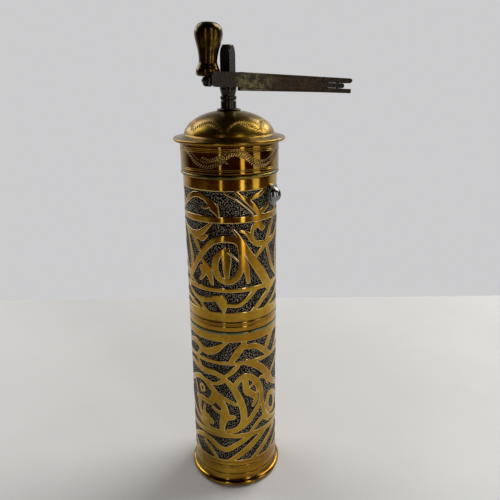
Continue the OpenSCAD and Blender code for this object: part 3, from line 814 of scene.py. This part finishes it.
# ---------------------------------------------------------------- pieces
def build_cup():
    """The cup's chased tube and the bead round its foot."""
    tube = chased_tube("cup_shell", 0.0, CUP_TOP, CUP_BANDS, CUP_LOW + CUP_MAIN + CUP_FRIEZE,
                       CUP_LINES, stained_rim=True)
    finish_piece(tube, CHASED, "receiving_cup", "cup_tube")
    r = BASE_R
    bead = ([(R_BODY, 0.0), (r - 1.1, 0.0)] + arc(r - 1.55, 1.75, 1.55, -62, 78, 16)
            + [(r - 1.45, 3.45), (R_BODY + 0.45, 3.75), (R_BODY + 0.15, 4.3), (R_BODY, BASE_TOP)])
    foot = lathe("foot_bead", bead, segments=256, smooth_angle=40)
    finish_piece(foot, AGED, "receiving_cup", "base_ring")


def build_upper():
    """The upper body's chased tube and the beaded neck that the cap sits on."""
    tube = chased_tube("body_shell", TUBE_LOW, TUBE_HIGH, UPPER_BANDS,
                       UPPER_LOW + UPPER_MAIN + UPPER_FRIEZE, UPPER_LINES)
    finish_piece(tube, CHASED, "grinding_body", "upper_tube")
    z = TUBE_HIGH
    bead_r = 1.0
    seat_in, seat_out = R_BORE - 1.2, R_BODY - 0.9
    profile = ([(seat_in, NECK_LOW), (R_BORE, NECK_LOW), (R_BORE, z), (R_BODY - 0.3, z)]
               + arc(BEAD_R - bead_r, z + bead_r, bead_r, -80, 80, 12)
               + [(seat_out, z + 2 * bead_r), (seat_out, NECK_HIGH - 0.4),
                  (seat_out - 0.4, NECK_HIGH), (seat_in, NECK_HIGH)])
    neck = lathe("neck_bead", profile, segments=256, smooth_angle=40)
    finish_piece(neck, GREEN, "grinding_body", "neck_ring")


def drum_marks():
    """A garland of slanted ticks round the cap's drum, in rows from its lower edge."""
    garland = [(-90, 5.5), (-78, 9.5), (-64, 11), (-50, 9), (-38, 5.2), (-24, 3.6), (-10, 5.4),
               (0, 8.4), (10, 9.6), (20, 7.6), (32, 4.4), (45, 3.8), (58, 6), (72, 9.6), (90, 10.5)]
    above = [(a, z + 1.9) for a, z in garland]
    lower = [(-30, 7.8), (-20, 6.8), (-10, 8), (0, 5)]
    marks = ticks(garland, 1.25, 1.6, 55, 0.30, SKIRT_R)
    marks += ticks(above, 1.25, 1.1, -50, 0.26, SKIRT_R)
    return marks + ticks(lower, 1.25, 1.2, 40, 0.26, SKIRT_R)


def ring_line(outline, at, depth=0.14):
    """Adds a fine turned groove to an upright run of an outline at height z."""
    r = outline[-1][0]
    return outline + [(r, at - 0.2), (r - depth, at), (r, at + 0.2)]


def build_drum():
    """The cap's upright wall, with fine turned lines and the garland."""
    r_in, r_out = SKIRT_R - DRUM_WALL, SKIRT_R
    z0, z1 = SKIRT_LOW, SKIRT_HIGH
    outer = [(r_out - 0.2, z0), (r_out, z0 + 0.25)]
    for at in (z0 + 1.3, z0 + 2.0, z1 - 2.6, z1 - 1.9, z1 - 1.1):
        outer = ring_line(outer, at)
    outer.append((r_out, z1))
    inner = [(r_in, z1), (r_in, z0)]
    drum = engraved_turning("cap_drum", outer, inner, drum_marks(), SKIRT_R, cols=720, pitch=0.2)
    finish_piece(drum, TURNED, "cap", "cap_skirt")


def dome_marks(start):
    """Festoons of double slanted ticks on the dome, measured along its outline from the brim."""
    marks = []
    for centre in (-74, -29, 20, 66):
        bow = [(-21, 2.6), (-13, 6.2), (0, 8.0), (13, 6.4), (21, 2.8)]
        high = [(centre + a, start + s) for a, s in bow]
        low = [(a, s - 1.7) for a, s in high[1:-1]]
        marks += ticks(high, 1.1, 1.6, 62, 0.32, DOME_MARK_R)
        marks += ticks(low, 1.0, 1.0, -58, 0.22, DOME_MARK_R)
    return marks


def dome_curve(radius, rise, base, degrees):
    """Points (r, z) of the dome's ellipse that lie outside the hole at its top."""
    points = [(radius * math.cos(t * DEG), base + rise * math.sin(t * DEG)) for t in degrees]
    return [point for point in points if point[0] > DOME_HOLE_R]


def dome_edge(radius, rise, base):
    """Where the dome's ellipse meets the hole at its top."""
    return DOME_HOLE_R, base + rise * math.sqrt(1 - (DOME_HOLE_R / radius) ** 2)


def build_dome():
    """The cap's dome with its rolled brim."""
    base = DOME_LOW + 2.0
    rim = R_BODY - 1.0
    lip_c = FLANGE_R - LIP_R
    brim = [(SKIRT_R + 0.3, DOME_LOW), (lip_c - 0.6, DOME_LOW + 0.6)]
    brim += arc(lip_c, base - 0.4, LIP_R, -70, 110, 12)
    brim += [(lip_c - 1.1, base + 0.6), (lip_c - 2.4, base + 0.95), (lip_c - 3.4, base + 1.35)]
    outer = brim + dome_curve(rim, DOME_RISE, base, np.linspace(8.5, 90, 40))
    outer.append(dome_edge(rim, DOME_RISE, base))
    bore, low_rise = rim - DOME_WALL, DOME_RISE - DOME_WALL
    inner = [dome_edge(bore, low_rise, base)] + dome_curve(bore, low_rise, base, np.linspace(90, 0, 24))
    inner.append((bore, DOME_LOW))
    marks = dome_marks(float(run_along(outer)[len(brim)]))
    dome = engraved_turning("cap_dome_shell", outer, inner, marks, DOME_MARK_R,
                            depth=0.2, cols=640, pitch=0.24)
    finish_piece(dome, DOME_BRASS, "cap", "cap_dome")


def build_bush():
    """The bush in the dome's hole, with a thin flange on top."""
    r, bore = FERRULE_R, BUSH_BORE_R
    low, high = FERRULE_LOW, FERRULE_HIGH
    flange = high - 0.9
    outline = [(bore, low), (DOME_HOLE_R, low), (DOME_HOLE_R, flange), (r - 0.2, flange),
               (r, high - 0.6), (r - 0.15, high - 0.3), (r - 0.9, high - 0.05),
               (bore + 0.5, high), (bore, high - 0.15)]
    bush = lathe("cap_bush", outline, segments=128, smooth_angle=35)
    finish_piece(bush, DARK_BRASS, "cap", "cap_ferrule")


def build_knob():
    """The turned knob, drawn upright and stood on its spindle's axis."""
    # (radius, height) as shares of the knob's largest radius and full height
    shape = [(0.70, 0.0), (0.82, 0.03), (0.86, 0.08), (0.83, 0.14), (0.74, 0.20), (0.67, 0.25),
             (0.655, 0.31), (0.69, 0.40), (0.765, 0.505), (0.87, 0.61), (0.965, 0.71), (1.0, 0.78),
             (0.965, 0.86), (0.86, 0.92), (0.67, 0.965), (0.42, 0.99), (0.0, 1.0)]
    outline = [(max(a, 0.0) * KNOB_R, b * KNOB_HEIGHT) for a, b in catmull(shape, 4)]
    for at in (1.2, 3.9):
        outline = [(a - 0.10 * math.exp(-((b - at) / 0.25) ** 2), b) for a, b in outline]
    knob = lathe("crank_knob", [(0.0, 0.0)] + outline, segments=128, smooth_angle=50, close=False)
    motion = MOTIONS["knob_spin"]
    axis = Vector(motion["axis"]).normalized()
    foot = Vector(motion["pos_m"]) - axis * KNOB_PIVOT * MM
    turn = Vector((0, 0, 1)).rotation_difference(axis).to_matrix().to_4x4()
    knob.data.transform(Matrix.Translation(foot) @ turn)
    finish_piece(knob, KNOB_BRASS, "turning_knob", "knob")


# ---------------------------------------------------------------- CAD nodes that stay
def keep(node, material):
    """Gives a CAD node that is shown as it is its material."""
    obj = frame["nodes"][node]
    obj.data.materials.clear()
    obj.data.materials.append(material)


def paint_kept_nodes():
    """Materials for every CAD node that stays, and worn edges on the steel."""
    for node in ("cup_floor", "spigot_ring", "adjusting_screw"):
        keep(node, AGED)
    for node in ("upper_bridge", "burr_ring", "burr_cone", "lower_bridge"):
        keep(node, IRON)
    for node in ("burr_pin", "thrust_washer", "fold_pin", "knob_spindle", "crank_arm", "handle_bar"):
        keep(node, STEEL)
    keep("drive_shaft", SHAFT_STEEL)
    for node in ("side_screws", "side_washers", "bridge_screws"):
        keep(node, BRIGHT)
    for node, width in (("crank_arm", 0.22), ("handle_bar", 0.3), ("drive_shaft", 0.25)):
        soften(node, width)


def soften(node, width):
    """Rounds the sharp edges of a CAD node."""
    bevel = frame["nodes"][node].modifiers.new("worn_edges", "BEVEL")
    bevel.width = width * MM
    bevel.segments = 2
    bevel.limit_method = "ANGLE"
    bevel.angle_limit = 35 * DEG


# ---------------------------------------------------------------- stage, lights, camera
def build_stage():
    """A pale table that ends a little behind the mill."""
    half, near, far = 0.6, 0.34, 0.23
    verts = [(-half, -near, 0), (half, -near, 0), (half, far, 0), (-half, far, 0)]
    floor = new_mesh("floor", verts, [(0, 1, 2, 3)], scale=1.0)
    n = Nodes("pale_floor")
    stain = n.noise(3.0, 5.0, 0.6)
    n.set("Base Color", n.mix(n.remap(stain, 0.3, 0.7), FLOOR_LOW, FLOOR_HIGH))
    n.set("Roughness", 0.5)
    floor.data.materials.append(n.material)


# A light aims at the mill's middle, in metres.
MIDDLE = (0, 0, 0.12)


def area_light(name, azimuth, elevation, distance, width, height, power, colour=(1, 1, 1)):
    """A soft box: azimuth from the front, positive to the right; sizes in metres; power in watts."""
    target = Vector(MIDDLE)
    a, e = azimuth * DEG, elevation * DEG
    offset = Vector((math.sin(a) * math.cos(e), -math.cos(a) * math.cos(e), math.sin(e))) * distance
    data = bpy.data.lights.new(name, "AREA")
    data.shape = "RECTANGLE"
    data.size, data.size_y = width, height
    data.energy = power
    data.color = colour
    obj = bpy.data.objects.new(name, data)
    obj.location = target + offset
    obj.rotation_euler = (target - obj.location).to_track_quat("-Z", "Y").to_euler()
    bpy.context.scene.collection.objects.link(obj)


def build_world():
    """A room that is bright behind the mill, dark behind the camera and dim overhead."""
    world = bpy.data.worlds.new("studio")
    bpy.context.scene.world = world
    world.use_nodes = True
    tree = world.node_tree
    tree.nodes.clear()
    out = tree.nodes.new("ShaderNodeOutputWorld")
    back = tree.nodes.new("ShaderNodeBackground")
    coord = tree.nodes.new("ShaderNodeTexCoord")
    split = tree.nodes.new("ShaderNodeSeparateXYZ")
    tree.links.new(coord.outputs["Generated"], split.inputs[0])
    behind = world_ramp(tree, split.outputs["Y"], 0.20, 0.62, 0.0, 1.0)
    above = world_ramp(tree, split.outputs["Z"], 0.20, 0.60, 1.0, 0.10)
    mix = tree.nodes.new("ShaderNodeMix")
    mix.data_type = "RGBA"
    tree.links.new(behind, mix.inputs[0])
    mix.inputs[6].default_value = ROOM_DARK
    mix.inputs[7].default_value = ROOM_BRIGHT
    tree.links.new(mix.outputs[2], back.inputs[0])
    tree.links.new(above, back.inputs[1])
    tree.links.new(back.outputs[0], out.inputs[0])


def world_ramp(tree, value, low, high, at_low, at_high):
    """A value eased from one level to another between low and high."""
    made = tree.nodes.new("ShaderNodeMapRange")
    made.interpolation_type = "SMOOTHSTEP"
    tree.links.new(value, made.inputs["Value"])
    made.inputs["From Min"].default_value = low
    made.inputs["From Max"].default_value = high
    made.inputs["To Min"].default_value = at_low
    made.inputs["To Max"].default_value = at_high
    return made.outputs["Result"]


def build_lights():
    """Two narrow windows in front, a wide one at the right, and two soft boxes behind."""
    daylight, warm = (1.0, 0.98, 0.95), (1.0, 0.97, 0.92)
    # azimuth, elevation, distance, width, height, power
    area_light("window_right", 31, 8, 1.3, 0.20, 1.6, 2.8, daylight)
    area_light("window_left", -20, 8, 1.3, 0.09, 1.5, 0.9, daylight)
    area_light("room_right", 66, 4, 1.5, 0.45, 1.3, 2.6, warm)
    area_light("key_back_right", 128, 42, 1.3, 0.9, 0.9, 14)
    area_light("fill_back_left", -125, 35, 1.3, 0.9, 0.9, 7)
    view = bpy.context.scene.view_settings
    view.view_transform = "Standard"
    view.look = "None"


CAMERA_AT = (0.00943, -0.25484, 0.21475)
CAMERA_PITCH = 18.63  # degrees down
CAMERA_ROLL = -0.56
CAMERA_LENS, CAMERA_SENSOR = 37.56, 36.0


def build_camera():
    """A close camera a little above the crank, looking down on the mill."""
    pitch, roll = CAMERA_PITCH * DEG, CAMERA_ROLL * DEG
    forward = Vector((0, math.cos(pitch), -math.sin(pitch)))
    right = Vector((1, 0, 0))
    up = right.cross(forward)
    right_rolled = right * math.cos(roll) + up * math.sin(roll)
    up_rolled = up * math.cos(roll) - right * math.sin(roll)
    data = bpy.data.cameras.new("camera")
    data.sensor_width = CAMERA_SENSOR
    data.lens = CAMERA_LENS
    data.clip_start = 0.01
    cam = bpy.data.objects.new("camera", data)
    axes = Matrix((right_rolled, up_rolled, -forward)).transposed().to_4x4()
    cam.matrix_world = Matrix.Translation(CAMERA_AT) @ axes
    bpy.context.scene.collection.objects.link(cam)
    bpy.context.scene.camera = cam


build_camera()
build_stage()
build_world()
build_lights()
build_cup()
build_upper()
build_drum()
build_dome()
build_bush()
build_knob()
paint_kept_nodes()
